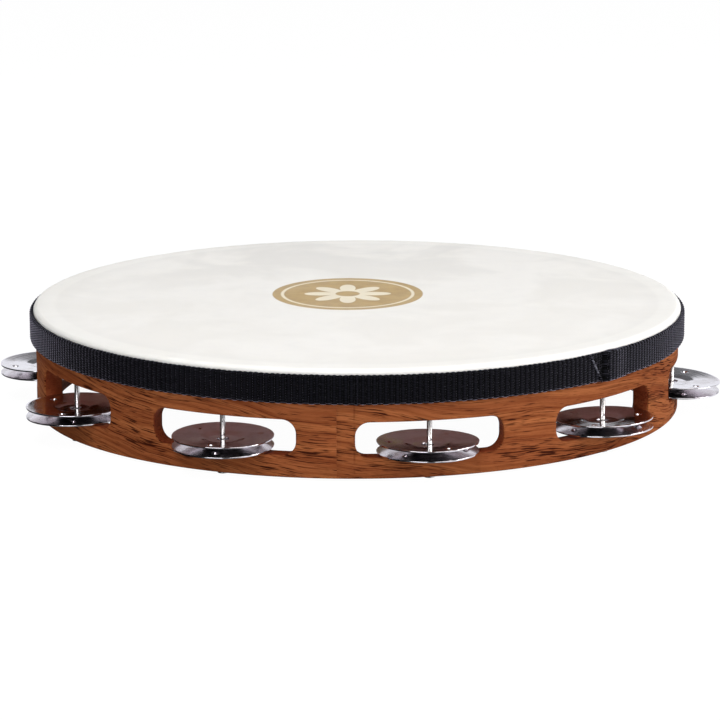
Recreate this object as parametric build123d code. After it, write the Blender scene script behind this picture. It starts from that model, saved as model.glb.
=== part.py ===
from build123d import *
import math
import os

os.makedirs("parts", exist_ok=True)

# Frame: origin under the middle of the hoop, in the plane of the nail heads' undersides.
# +Z is up through the head. Angles are degrees round the hoop: 0 faces -Y, 90 faces +X.

# Shell: one bent-wood hoop
SHELL_OUTER_R = 126.0
SHELL_WALL = 7.5
SHELL_BOTTOM_Z = 0.8
SHELL_TOP_Z = 40.9
SHELL_EDGE_ROUND = 0.8
SCARF_GROOVE_WIDTH = 0.25
SCARF_GROOVE_DEPTH = 0.4
SCARF_OUTER_ANGLE = -3.4
SCARF_INNER_ANGLE = -8.4

# Jingle slots: ten even positions, nine cut and one left solid as the hand grip
POSITION_PITCH = 36.0
FIRST_POSITION = 12.34
POSITION_COUNT = 10
GRIP_POSITION = 4
SLOT_BOTTOM_Z = 8.9
SLOT_TOP_Z = 22.1
SLOT_CORNER_R = 5.2
# The slots are cut by hand. One value for each, in order round the hoop:
# how far it reaches from its pin to either side, and how far it sits above the mean height
SLOT_REACH_LEFT = [27.6, 27.9, 28.0, 28.0, 28.0, 28.0, 28.0, 28.0, 28.0]
SLOT_REACH_RIGHT = [27.7, 27.6, 28.0, 28.0, 28.0, 28.0, 28.0, 28.0, 29.2]
SLOT_RISE = [-0.3, -0.7, -1.2, -0.9, 0.1, 0.6, 0.7, 0.6, 0.2]

# Drum head: a skin over the top edge, with a skirt down the outside
SKIN_THICKNESS = 0.8
SKIN_BEND_R = 2.0
SKIRT_BOTTOM_Z = 29.4

# Webbing round the skirt, its ends lapped
WEBBING_THICKNESS = 1.5
WEBBING_BOTTOM_Z = 28.65
WEBBING_TOP_Z = 39.7
WEBBING_EDGE_ROUND = 0.4
LAP_ROOT_ANGLE = 40.0
LAP_EDGE_ANGLE = 44.0
LAP_END_ANGLE = 51.0
LAP_CREST_POINTS = 5
LAP_RISE = 1.4
LAP_SLANT = 22.0
LAP_TOP_STEP = 0.5

# Jingle pins: flat-headed nails driven up from below
NAIL_R = 1.0
NAIL_POINT_Z = 31.0
NAIL_POINT_LENGTH = 2.0
NAIL_HEAD_R = 2.15
NAIL_HEAD_HEIGHT = 0.8
NAIL_HEAD_CHAMFER = 0.15
# How far each pin stands outside the middle of the wall, in order round the hoop
PIN_OUTWARD = [0.0, 0.0, 1.3, 0.0, 0.0, 0.0, 1.0, 0.4, 0.0]

# Jingle discs: a dished flange round a shallow cup, with three dimples
DISC_R = 18.75
DISC_THICKNESS = 0.5
DISC_HOLE_R = 2.2
CUP_FLOOR_R = 5.8
CUP_MOUTH_R = 8.6
CUP_MOUTH_RISE = 0.7
RIM_RISE = 1.4
DISC_BEND_R = 5.0
DIMPLE_COUNT = 3
DIMPLE_RADIUS_OUT = 13.9
DIMPLE_WIDTH = 2.3
DIMPLE_DEPTH = 0.45

# How each pair lies, one value for each in order round the hoop: the gap over the slot's
# floor, the gap between the discs' cups, and the discs' play on the pin, outwards and along
PAIR_FLOOR_GAP = [0.95, 1.0, 0.7, 0.6, 0.6, 0.6, 0.6, 0.4, 0.85]
PAIR_CUP_GAP = 0.4
PAIR_OUTWARD = [0.0, 0.3, 0.0, 0.5, -0.4, 0.6, 0.3, 0.7, 0.0]
PAIR_ALONG = [-0.6, 0.0, 0.0, 0.4, -0.3, 0.2, 0.0, 0.0, 0.0]
# Degrees: outer side down, then each disc's lower end towards the higher angles, then its turn
PAIR_LEAN = [-0.7, -2.0, 4.0, -0.9, 1.2, -0.5, 0.9, 1.2, 1.1]
UPPER_ROLL = [0.2, 0.0, -0.3, 0.4, -0.4, 0.3, 0.5, 0.2, 0.5]
LOWER_ROLL = [0.0, 0.2, -0.4, -0.3, 0.2, -0.4, -0.5, 0.0, 0.2]
UPPER_TURN = [50.0, 87.0, 101.0, 47.0, 8.0, 83.0, 64.0, 72.0, 36.0]
LOWER_TURN = [17.0, 71.0, 40.0, 5.0, 92.0, 58.0, 110.0, 29.0, 77.0]

SHELL_INNER_R = SHELL_OUTER_R - SHELL_WALL
PIN_CIRCLE_R = (SHELL_OUTER_R + SHELL_INNER_R) / 2
SKIN_OUTER_R = SHELL_OUTER_R + SKIN_THICKNESS
SKIN_TOP_Z = SHELL_TOP_Z + SKIN_THICKNESS
SKIN_INNER_BEND_R = SKIN_BEND_R - SKIN_THICKNESS
WEBBING_OUTER_R = SKIN_OUTER_R + WEBBING_THICKNESS
DISC_HEIGHT = RIM_RISE + DISC_THICKNESS

JINGLE_ANGLES = [
    FIRST_POSITION + POSITION_PITCH * place
    for place in range(POSITION_COUNT)
    if place != GRIP_POSITION
]


def on_hoop(angle, radius=0.0):
    """Frame at an angle round the hoop: +X along the hoop, +Y towards the middle, +Z up."""
    return Rot(0, 0, angle) * Pos(0, -radius, 0)


def spin(points):
    """Solid of revolution about Z from (radius, height) corners in order."""
    outline = Polyline(*[(radius, 0, height) for radius, height in points], close=True)
    return revolve(make_face(outline), Axis.Z)


def hoop_section(inner_r, outer_r, bottom_z, top_z):
    """Upright rectangle between two radii, on the XZ plane."""
    middle = Pos((inner_r + outer_r) / 2, (bottom_z + top_z) / 2)
    return Plane.XZ * middle * Rectangle(outer_r - inner_r, top_z - bottom_z)


def corner(section, outer, top):
    """The vertex of a hoop section at the outer or inner, top or bottom corner."""
    side = section.vertices().group_by(Axis.X)[-1 if outer else 0]
    return side.sort_by(Axis.Z)[-1 if top else 0]


def nail():
    """Flat-headed nail on the Z axis, its head's underside at z = 0."""
    head_flat_r = NAIL_HEAD_R - NAIL_HEAD_CHAMFER
    return spin([
        (0, 0),
        (head_flat_r, 0),
        (NAIL_HEAD_R, NAIL_HEAD_CHAMFER),
        (NAIL_HEAD_R, NAIL_HEAD_HEIGHT - NAIL_HEAD_CHAMFER),
        (head_flat_r, NAIL_HEAD_HEIGHT),
        (NAIL_R, NAIL_HEAD_HEIGHT),
        (NAIL_R, NAIL_POINT_Z - NAIL_POINT_LENGTH),
        (0, NAIL_POINT_Z),
    ])


def scarf_groove(angle, radius):
    """Thin upright cutter for the glue line where the hoop's ends meet."""
    height = SHELL_TOP_Z - SHELL_BOTTOM_Z
    cutter = Box(SCARF_GROOVE_WIDTH, 2 * SCARF_GROOVE_DEPTH, height)
    return on_hoop(angle, radius) * Pos(0, 0, SHELL_BOTTOM_Z + height / 2) * cutter


def slot_cutter(number):
    """Rounded window through the wall for one pair of jingles."""
    width = SLOT_REACH_LEFT[number] + SLOT_REACH_RIGHT[number]
    middle_x = (SLOT_REACH_RIGHT[number] - SLOT_REACH_LEFT[number]) / 2
    middle_z = (SLOT_BOTTOM_Z + SLOT_TOP_Z) / 2 + SLOT_RISE[number]
    window = RectangleRounded(width, SLOT_TOP_Z - SLOT_BOTTOM_Z, SLOT_CORNER_R)
    block = extrude(Plane.XZ * window, amount=SHELL_WALL, both=True)
    return on_hoop(JINGLE_ANGLES[number], PIN_CIRCLE_R) * Pos(middle_x, 0, middle_z) * block


def pin_frame(number):
    """Where pin number stands."""
    return on_hoop(JINGLE_ANGLES[number], PIN_CIRCLE_R + PIN_OUTWARD[number])


def shell():
    """Wooden hoop with its slots, nail holes and scarf joint."""
    section = hoop_section(SHELL_INNER_R, SHELL_OUTER_R, SHELL_BOTTOM_Z, SHELL_TOP_Z)
    section = fillet(corner(section, outer=True, top=True), SKIN_INNER_BEND_R)
    section = fillet(corner(section, outer=True, top=False), SHELL_EDGE_ROUND)
    section = fillet(corner(section, outer=False, top=True), SHELL_EDGE_ROUND)
    section = fillet(corner(section, outer=False, top=False), SHELL_EDGE_ROUND)
    hoop = revolve(section, Axis.Z)
    hoop -= scarf_groove(SCARF_OUTER_ANGLE, SHELL_OUTER_R)
    hoop -= scarf_groove(SCARF_INNER_ANGLE, SHELL_INNER_R)
    for number in range(len(JINGLE_ANGLES)):
        hoop -= slot_cutter(number)
        hoop -= pin_frame(number) * nail()
    return hoop


def drum_head():
    """Skin stretched over the hoop, bent over its edge and down the outside."""
    outside = hoop_section(0, SKIN_OUTER_R, SKIRT_BOTTOM_Z, SKIN_TOP_Z)
    outside = fillet(corner(outside, outer=True, top=True), SKIN_BEND_R)
    inside = hoop_section(0, SHELL_OUTER_R, SKIRT_BOTTOM_Z, SHELL_TOP_Z)
    inside = fillet(corner(inside, outer=True, top=True), SKIN_INNER_BEND_R)
    return revolve(outside - inside, Axis.Z)


def on_hoop_point(angle, radius):
    """Point in the XY plane at an angle and radius round the hoop."""
    turn = math.radians(angle)
    return (radius * math.sin(turn), -radius * math.cos(turn))


def webbing_lap():
    """Loose end of the webbing, lying over its other end and thinning out into it."""
    span = LAP_END_ANGLE - LAP_ROOT_ANGLE
    steps = [number / (LAP_CREST_POINTS - 1) for number in range(LAP_CREST_POINTS)]
    crest = Spline(*[
        on_hoop_point(LAP_ROOT_ANGLE + step * span, WEBBING_OUTER_R + (1 - step) * LAP_RISE)
        for step in steps
    ])
    root_r = WEBBING_OUTER_R - WEBBING_THICKNESS / 2
    root = Line(on_hoop_point(LAP_END_ANGLE, root_r), on_hoop_point(LAP_ROOT_ANGLE, root_r))
    outline = make_face([crest, Line(crest @ 1, root @ 0), root, Line(root @ 1, crest @ 0)])
    height = WEBBING_TOP_Z + LAP_TOP_STEP - WEBBING_BOTTOM_Z
    flap = extrude(Pos(0, 0, WEBBING_BOTTOM_Z) * outline, amount=height, dir=(0, 0, 1))
    # The flap's cut edge slants, so only what lies past a tipped plane is kept
    edge = on_hoop(LAP_EDGE_ANGLE, WEBBING_OUTER_R) * Pos(0, 0, WEBBING_BOTTOM_Z + height / 2)
    size = WEBBING_OUTER_R
    past_edge = edge * Rot(0, -LAP_SLANT, 0) * Pos(size / 2, 0, 0) * Box(size, size, size)
    skirt = extrude(Circle(SKIN_OUTER_R), amount=2 * WEBBING_TOP_Z)
    return (flap & past_edge) - skirt


def edge_webbing():
    """Woven band round the skirt, with its lapped end."""
    section = hoop_section(SKIN_OUTER_R, WEBBING_OUTER_R, WEBBING_BOTTOM_Z, WEBBING_TOP_Z)
    section = fillet(corner(section, outer=True, top=True), WEBBING_EDGE_ROUND)
    section = fillet(corner(section, outer=True, top=False), WEBBING_EDGE_ROUND)
    return revolve(section, Axis.Z) + webbing_lap()


def flange_rise(radius):
    """Height of the flange's convex side above the cup's floor at a radius."""
    along = (radius - CUP_MOUTH_R) / (DISC_R - CUP_MOUTH_R)
    return CUP_MOUTH_RISE + along * (RIM_RISE - CUP_MOUTH_RISE)


def jingle_disc():
    """One disc on the Z axis, hollow side up, its cup's convex floor at z = 0."""
    top = DISC_THICKNESS
    points = [
        (DISC_HOLE_R, 0),
        (CUP_FLOOR_R, 0),
        (CUP_MOUTH_R, CUP_MOUTH_RISE),
        (DISC_R, RIM_RISE),
        (DISC_R, RIM_RISE + top),
        (CUP_MOUTH_R, CUP_MOUTH_RISE + top),
        (CUP_FLOOR_R, top),
        (DISC_HOLE_R, top),
    ]
    outline = make_face(Polyline(*[(radius, 0, height) for radius, height in points], close=True))
    bends = [vertex for vertex in outline.vertices() if DISC_HOLE_R < vertex.X < DISC_R]
    outline = fillet(bends, DISC_BEND_R)
    disc = revolve(outline, Axis.Z)
    for number in range(DIMPLE_COUNT):
        place = Rot(0, 0, number * 360 / DIMPLE_COUNT) * Pos(DIMPLE_RADIUS_OUT, 0, 0)
        disc = add_dimple(disc, place)
    return disc


def add_dimple(disc, place):
    """Press a round dimple into the hollow side, which stands out on the convex side."""
    inner_r = ((DIMPLE_WIDTH / 2) ** 2 + DIMPLE_DEPTH ** 2) / (2 * DIMPLE_DEPTH)
    outer_r = inner_r + DISC_THICKNESS
    convex_z = flange_rise(DIMPLE_RADIUS_OUT)
    centre = Pos(0, 0, convex_z + DISC_THICKNESS + inner_r - DIMPLE_DEPTH)
    middle_z = convex_z + DISC_THICKNESS / 2
    below = Pos(0, 0, middle_z - outer_r) * Box(2 * outer_r, 2 * outer_r, 2 * outer_r)
    bump = (centre * Sphere(outer_r)) & below
    return disc + place * bump - place * centre * Sphere(inner_r)


def pair_frame(number):
    """Where pair number lies: on its pin, leaning a little outwards or inwards."""
    height = SLOT_BOTTOM_Z + SLOT_RISE[number] + PAIR_FLOOR_GAP[number]
    play = Pos(PAIR_ALONG[number], -PAIR_OUTWARD[number], height)
    return pin_frame(number) * play * Rot(PAIR_LEAN[number], 0, 0)


def lower_disc(disc, number):
    """Lower disc of a pair, hollow side down, its rim nearest the slot's floor."""
    rolled = Rot(0, LOWER_ROLL[number], 0)
    upturned = Pos(0, 0, DISC_HEIGHT) * Rot(180, 0, 0)
    return pair_frame(number) * rolled * upturned * Rot(0, 0, LOWER_TURN[number]) * disc


def upper_disc(disc, number):
    """Upper disc of a pair, hollow side up, its cup just above the lower one's."""
    rolled = Rot(0, UPPER_ROLL[number], 0)
    lift = Pos(0, 0, DISC_HEIGHT + PAIR_CUP_GAP)
    return pair_frame(number) * rolled * lift * Rot(0, 0, UPPER_TURN[number]) * disc


def write(node, solid):
    """Save one node and report its size."""
    solid.label = node
    export_step(solid, f"parts/{node}.step")
    print(f"{node}: {solid.volume:.1f} mm3, valid {solid.is_valid}")


write("shell", shell())
write("drum_head", drum_head())
write("edge_webbing", edge_webbing())

one_nail = nail()
one_disc = jingle_disc()
for index in range(len(JINGLE_ANGLES)):
    name = index + 1
    write(f"jingle_pin_{name}", pin_frame(index) * one_nail)
    write(f"jingle_lower_{name}", lower_disc(one_disc, index))
    write(f"jingle_upper_{name}", upper_disc(one_disc, index))
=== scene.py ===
import math

import bmesh
import bpy
import numpy as np
from mathutils import Matrix, Vector


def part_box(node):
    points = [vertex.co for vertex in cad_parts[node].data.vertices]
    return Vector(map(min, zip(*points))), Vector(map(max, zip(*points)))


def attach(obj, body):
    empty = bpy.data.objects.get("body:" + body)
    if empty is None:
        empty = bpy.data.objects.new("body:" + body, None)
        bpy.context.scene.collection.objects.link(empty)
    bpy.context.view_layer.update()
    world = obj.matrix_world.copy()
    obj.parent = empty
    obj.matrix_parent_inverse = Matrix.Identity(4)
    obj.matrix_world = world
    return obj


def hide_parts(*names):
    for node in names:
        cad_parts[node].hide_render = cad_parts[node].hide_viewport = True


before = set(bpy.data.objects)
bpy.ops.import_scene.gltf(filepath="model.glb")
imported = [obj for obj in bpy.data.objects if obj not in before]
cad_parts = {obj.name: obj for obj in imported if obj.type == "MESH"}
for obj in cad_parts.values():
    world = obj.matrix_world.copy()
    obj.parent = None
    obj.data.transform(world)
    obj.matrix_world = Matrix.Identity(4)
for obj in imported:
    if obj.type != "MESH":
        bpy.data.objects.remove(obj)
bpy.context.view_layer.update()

# Millimetres are the script's own unit, and metres are Blender's
MM = 0.001

# Points nearer to each other than this, in metres, are welded
WELD = 2e-7

# ---------------------------------------------------------------- sizes and places
# Angles go round the hoop in degrees: 0 faces -Y, 90 faces +X. Lengths are in millimetres.


def box_mm(node):
    """Lowest and highest corner of a CAD node, in mm."""
    low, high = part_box(node)
    return np.array(low) / MM, np.array(high) / MM


def hoop_place(node):
    """Angle and distance from the hoop's axis of the middle of a CAD node."""
    low, high = box_mm(node)
    x, y = (low[0] + high[0]) / 2, (low[1] + high[1]) / 2
    return math.degrees(math.atan2(x, -y)) % 360, math.hypot(x, y)


shell_low, shell_high = box_mm("shell")
skin_low, skin_high = box_mm("drum_head")
band_low, _ = box_mm("edge_webbing")
pin_low, pin_high = box_mm("jingle_pin_1")

JINGLES = range(1, 10)
PLACES = [hoop_place(f"jingle_pin_{k}") for k in JINGLES]
SLOT_ANGLES = [angle for angle, _ in PLACES]
SECTORS = 10
SLOT_PITCH = 360 / SECTORS

SHELL_R = shell_high[1]
SHELL_WALL = 7.5
SHELL_INNER_R = SHELL_R - SHELL_WALL
PIN_CIRCLE_R = SHELL_R - SHELL_WALL / 2
SHELL_BOTTOM, SHELL_TOP = shell_low[2], shell_high[2]
SHELL_ROUND = 0.8
WALL_LOW, WALL_HIGH = SHELL_BOTTOM + SHELL_ROUND, SHELL_TOP - SHELL_ROUND

# The scarf joint runs through the wall at a slant, between an outer and an inner angle
SEAM_OUTER, SEAM_INNER = -3.4, -8.4
SEAM_HALF_WIDTH = 0.11
SEAM_DEPTH = 0.2
TWIN_ANGLE = -0.5

# The slots, one value for each in order round the hoop: how far it reaches from its pin to
# either side, and how far it sits above the mean height
SLOT_BOTTOM, SLOT_TOP = 8.9, 22.1
SLOT_REACH_LEFT = [27.6, 27.9, 28.0, 28.0, 28.0, 28.0, 28.0, 28.0, 28.0]
SLOT_REACH_RIGHT = [27.7, 27.6, 28.0, 28.0, 28.0, 28.0, 28.0, 28.0, 29.2]
SLOT_RISE = [-0.3, -0.7, -1.2, -0.9, 0.1, 0.6, 0.7, 0.6, 0.2]
SLOT_CORNER_R = 5.2
SLOT_EDGE_ROUND = 0.6

# The wall's mesh: rows up a face, columns along a slot, steps in half a corner, and the rings
# between a slot's edge (0) and its sector's sides (1)
FACE_ROWS = 14
SLOT_COLUMNS = 34
CORNER_STEPS = 5
RING_SHARES = [0.0, 0.05, 0.16, 0.36, 0.62, 1.0]

SKIN_R = skin_high[1]
SKIN_TOP = skin_high[2]
SKIN_THICKNESS = SKIN_TOP - SHELL_TOP
SKIN_BEND_R = 2.0
SKIRT_BOTTOM = skin_low[2]
SKIN_SAG = 0.06
SAG_START_R, SAG_END_R = 115.5, 119.5
SKIN_COLUMNS = 240

# The print on the skin: its middle, and its half width and half depth
PRINT_X, PRINT_Y = -3.7, 10.7
PRINT_HALF_X, PRINT_HALF_Y = 30.0, 32.0

BAND_R = -band_low[1]
BAND_BOTTOM, BAND_TOP = band_low[2], 39.7
RIB_COUNT = 389
RIB_COLUMNS = 6
RIB_DEPTH = 0.12
THREADS = 12
THREAD_PITCH = (BAND_TOP - BAND_BOTTOM) / THREADS
THREAD_DEPTH = 0.12

# The webbing's lapped end: a slanted cut, a crease pressed in behind it, a hump in its top edge,
# and the angle where the swelling has died away
CUT_TOP_ANGLE = 42.1
CUT_TOP_HEIGHT = 38.6
CUT_SLOPE = 0.26
CREASE_END_ANGLE = 45.4
HUMP_ANGLE = 47.2
END_ANGLE = 51.5
PRESSED_IN = 0.85
SWELLING = 1.15
# The crease's mark, which makes the finish paint it black as painted shade
CREASE_SHADE_MARK = 0.62

DISC_R = 18.75
DISC_HOLE_R = 2.2
DISC_THICKNESS = 0.5
DISC_HEIGHT = 1.9
CUP_SLOPE, FLANGE_SLOPE = 0.25, 0.069
CUP_FLOOR_R, CUP_SIDE_R = 5.2, 6.4
CUP_MOUTH_R, FLANGE_START_R = 8.15, 9.05
DIMPLES = 3
DIMPLE_CIRCLE_R = 13.9
DIMPLE_R = 1.6
DIMPLE_DEPTH = 0.75
DIMPLE_CROWDING = 15.8
LOWER_SEED, UPPER_SEED = 100, 200

# A disc's rim and bore: how far through its thickness each ring lies, and how far it is set in
DISC_EDGE = [(0.06, 0.03), (0.2, 0.0), (0.8, 0.0), (0.94, 0.03)]

# The pairs, one value for each in order round the hoop: gaps and shifts, then degrees
PAIR_FLOOR_GAP = [0.95, 1.0, 0.7, 0.6, 0.6, 0.6, 0.6, 0.4, 0.85]
PAIR_CUP_GAP = 0.4
PAIR_OUTWARD = [0.0, 0.3, 0.0, 0.5, -0.4, 0.6, 0.3, 0.7, 0.0]
PAIR_ALONG = [-0.6, 0.0, 0.0, 0.4, -0.3, 0.2, 0.0, 0.0, 0.0]
PAIR_LEAN = [-0.7, -2.0, 4.0, -0.9, 1.2, -0.5, 0.9, 1.2, 1.1]
UPPER_ROLL = [0.2, 0.0, -0.3, 0.4, -0.4, 0.3, 0.5, 0.2, 0.5]
LOWER_ROLL = [0.0, 0.2, -0.4, -0.3, 0.2, -0.4, -0.5, 0.0, 0.2]
UPPER_TURN = [50.0, 87.0, 101.0, 47.0, 8.0, 83.0, 64.0, 72.0, 36.0]
LOWER_TURN = [17.0, 71.0, 40.0, 5.0, 92.0, 58.0, 110.0, 29.0, 77.0]

PIN_R = 1.0
SHANK_RINGS = [1.1, 3.0, 6.0, 9.5, 13.0, 16.5, 20.0, 23.5]
PIN_COLUMNS = 40

# Light and camera, in metres
OBJECT_MIDDLE = (0.0, 0.0, 0.02)
FLOOR_HALF = 14.0
TABLE_LEVEL, GROUND_LEVEL = -0.0002, -0.001
SWEEP_LEAN = 1.1
ROOM_FRONT, ROOM_BACK = 0.12, 0.95
CEILING_SHARE = 0.14
LEFT_SHARE = 0.1

# The camera looks down at 11.5 degrees through a long lens; its angles are in radians
CAMERA_DISTANCE = 1.43433
CAMERA_ELEVATION = 0.201136
CAMERA_ROLL = -0.002514
AIM_RIGHT, AIM_UP = 0.000765, -0.016742
LENS, SENSOR_WIDTH = 182.497, 36.0


# ---------------------------------------------------------------- mesh tools


def smoothstep(low, high, value):
    """0 below low, 1 above high, and a smooth rise between."""
    share = np.clip((np.asarray(value, float) - low) / (high - low), 0.0, 1.0)
    return share * share * (3 - 2 * share)


def around(angle, radius, height):
    """Points on the hoop, in mm, stacked on a last axis."""
    angle, radius, height = np.broadcast_arrays(np.radians(angle), radius, height)
    return np.stack([radius * np.sin(angle), -radius * np.cos(angle), height], -1)


def arc_points(centre, radius, start, end, count):
    """Points (r, z) along an arc in a section, angles in degrees from the outward direction."""
    turn = np.radians(np.linspace(start, end, count))
    return np.stack([centre[0] + radius * np.cos(turn), centre[1] + radius * np.sin(turn)], -1)


class Patchwork:
    """Quads from grids of points in mm, welded where the grids meet."""

    def __init__(self):
        self.points = []
        self.faces = []
        self.marks = []
        self.count = 0

    def grid(self, rows, close_rows=False, close_columns=False, marks=None):
        """Adds rows by columns of points.

        Closing rows joins each row's ends, and closing columns joins the last row to the first.
        """
        rows = np.asarray(rows, float)
        height, width = rows.shape[:2]
        index = self.count + np.arange(height * width).reshape(height, width)
        if close_rows:
            index = np.concatenate([index, index[:, :1]], 1)
        if close_columns:
            index = np.concatenate([index, index[:1]], 0)
        quads = np.stack([index[:-1, :-1], index[:-1, 1:], index[1:, 1:], index[1:, :-1]], -1)
        if marks is None:
            marks = np.zeros(height * width)
        self.points.append(rows.reshape(-1, 3))
        self.faces.append(quads.reshape(-1, 4))
        self.marks.append(np.asarray(marks, float).ravel())
        self.count += height * width

    def piece(self, name, body, material, node, sharp, place=None):
        """The welded mesh as a piece that rides on a body and stands for a CAD node.

        Edges that turn by more than sharp degrees stay sharp.
        """
        points = np.concatenate(self.points)
        faces = np.concatenate(self.faces)
        placed = points * MM
        if place is not None:
            turn = np.array(place)
            placed = placed @ turn[:3, :3].T + turn[:3, 3]
        mesh = bpy.data.meshes.new(name)
        mesh.from_pydata(placed.tolist(), [], faces.tolist())
        mark = mesh.attributes.new("mark", "FLOAT", "POINT")
        mark.data.foreach_set("value", np.concatenate(self.marks).astype(np.float32))
        own = mesh.attributes.new("own_mm", "FLOAT_VECTOR", "POINT")
        own.data.foreach_set("vector", points.astype(np.float32).ravel())
        work = bmesh.new()
        work.from_mesh(mesh)
        bmesh.ops.remove_doubles(work, verts=work.verts, dist=WELD)
        bmesh.ops.dissolve_degenerate(work, edges=work.edges, dist=WELD)
        bmesh.ops.recalc_face_normals(work, faces=work.faces)
        work.to_mesh(mesh)
        work.free()
        mesh.shade_smooth()
        mesh.set_sharp_from_angle(angle=math.radians(sharp))
        mesh.materials.append(material)
        made = bpy.data.objects.new(name, mesh)
        bpy.context.scene.collection.objects.link(made)
        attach(made, body)
        if node is not None:
            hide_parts(node)
        return made


# ---------------------------------------------------------------- shader tools


def paint(red, green, blue):
    """Linear colour from display values of 0 to 255."""
    shares = [value / 255 for value in (red, green, blue)]
    linear = [s / 12.92 if s <= 0.04045 else ((s + 0.055) / 1.055) ** 2.4 for s in shares]
    return (*linear, 1.0)


class Finish:
    """A node material, with its coordinates in millimetres."""

    def __init__(self, name, own_frame=False):
        self.material = bpy.data.materials.new(name)
        self.material.use_nodes = True
        self.tree = self.material.node_tree
        self.tree.nodes.clear()
        self.shader = self.tree.nodes.new("ShaderNodeBsdfPrincipled")
        output = self.tree.nodes.new("ShaderNodeOutputMaterial")
        self.tree.links.new(self.shader.outputs[0], output.inputs["Surface"])
        if own_frame:
            coordinates = self.tree.nodes.new("ShaderNodeAttribute")
            coordinates.attribute_name = "own_mm"
            self.mm = coordinates.outputs["Vector"]
        else:
            coordinates = self.tree.nodes.new("ShaderNodeTexCoord")
            self.mm = self.scaled(coordinates.outputs["Object"], (1 / MM,) * 3)

    def feed(self, socket, value):
        """Links a value that is a socket, and sets one that is a number or a colour."""
        if isinstance(value, bpy.types.NodeSocket):
            self.tree.links.new(value, socket)
        else:
            socket.default_value = value

    def set(self, **values):
        """Sets or links the shader's inputs; an underscore in a name stands for a space."""
        for name, value in values.items():
            self.feed(self.shader.inputs[name.replace("_", " ")], value)

    def math(self, operation, *values):
        """One step of arithmetic, on numbers and sockets."""
        node = self.tree.nodes.new("ShaderNodeMath")
        node.operation = operation
        for socket, value in zip(node.inputs, values):
            self.feed(socket, value)
        return node.outputs[0]

    def scaled(self, vector, scale):
        """A vector times a scale along each axis."""
        node = self.tree.nodes.new("ShaderNodeVectorMath")
        node.operation = "MULTIPLY"
        self.feed(node.inputs[0], vector)
        node.inputs[1].default_value = scale
        return node.outputs[0]

    def split(self, vector):
        """A vector's x, y and z."""
        node = self.tree.nodes.new("ShaderNodeSeparateXYZ")
        self.feed(node.inputs[0], vector)
        return node.outputs[0], node.outputs[1], node.outputs[2]

    def joined(self, x, y, z):
        """The vector of x, y and z."""
        node = self.tree.nodes.new("ShaderNodeCombineXYZ")
        for socket, value in zip(node.inputs, (x, y, z)):
            self.feed(socket, value)
        return node.outputs[0]

    def noise(self, vector, size, detail=2.0, roughness=0.5, distortion=0.0):
        """Noise from 0 to 1 whose features are about size across, along each axis."""
        node = self.tree.nodes.new("ShaderNodeTexNoise")
        self.feed(node.inputs["Vector"], self.scaled(vector, tuple(1 / s for s in size)))
        node.inputs["Scale"].default_value = 1.0
        node.inputs["Detail"].default_value = detail
        node.inputs["Roughness"].default_value = roughness
        node.inputs["Distortion"].default_value = distortion
        return node.outputs[0]

    def rise(self, value, low, high, out_low=0.0, out_high=1.0):
        """Smooth change from out_low to out_high as value goes from low to high."""
        node = self.tree.nodes.new("ShaderNodeMapRange")
        node.interpolation_type = "SMOOTHSTEP"
        self.feed(node.inputs["Value"], value)
        bounds = (("From Min", low), ("From Max", high), ("To Min", out_low), ("To Max", out_high))
        for socket, bound in bounds:
            node.inputs[socket].default_value = bound
        return node.outputs[0]

    def mix(self, share, first, second):
        """The first colour at a share of 0, the second at 1."""
        node = self.tree.nodes.new("ShaderNodeMix")
        node.data_type = "RGBA"
        self.feed(node.inputs["Factor"], share)
        self.feed(node.inputs[6], first)
        self.feed(node.inputs[7], second)
        return node.outputs[2]

    def bump(self, height, depth, normal=None):
        """Surface relief: height from 0 to 1 stands for depth mm."""
        node = self.tree.nodes.new("ShaderNodeBump")
        node.inputs["Distance"].default_value = depth * MM
        self.feed(node.inputs["Height"], height)
        if normal is not None:
            self.feed(node.inputs["Normal"], normal)
        return node.outputs[0]

    def mark(self):
        """The mark that each point of a mesh was given."""
        node = self.tree.nodes.new("ShaderNodeAttribute")
        node.attribute_name = "mark"
        return node.outputs["Fac"]

    def distance(self, x, y):
        """Length of the vector (x, y)."""
        squares = self.math("ADD", self.math("MULTIPLY", x, x), self.math("MULTIPLY", y, y))
        return self.math("SQRT", squares)

    def polar(self):
        """Place x, y and z in mm, and the distance from the vertical axis."""
        x, y, z = self.split(self.mm)
        return x, y, z, self.distance(x, y)

    def angle(self, x, y, start):
        """Angle in radians past a start angle in degrees, from 0 to a full turn."""
        raw = self.math("ARCTAN2", x, self.math("MULTIPLY", y, -1.0))
        return self.math("FLOORED_MODULO", self.math("SUBTRACT", raw, math.radians(start)), math.tau)


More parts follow.
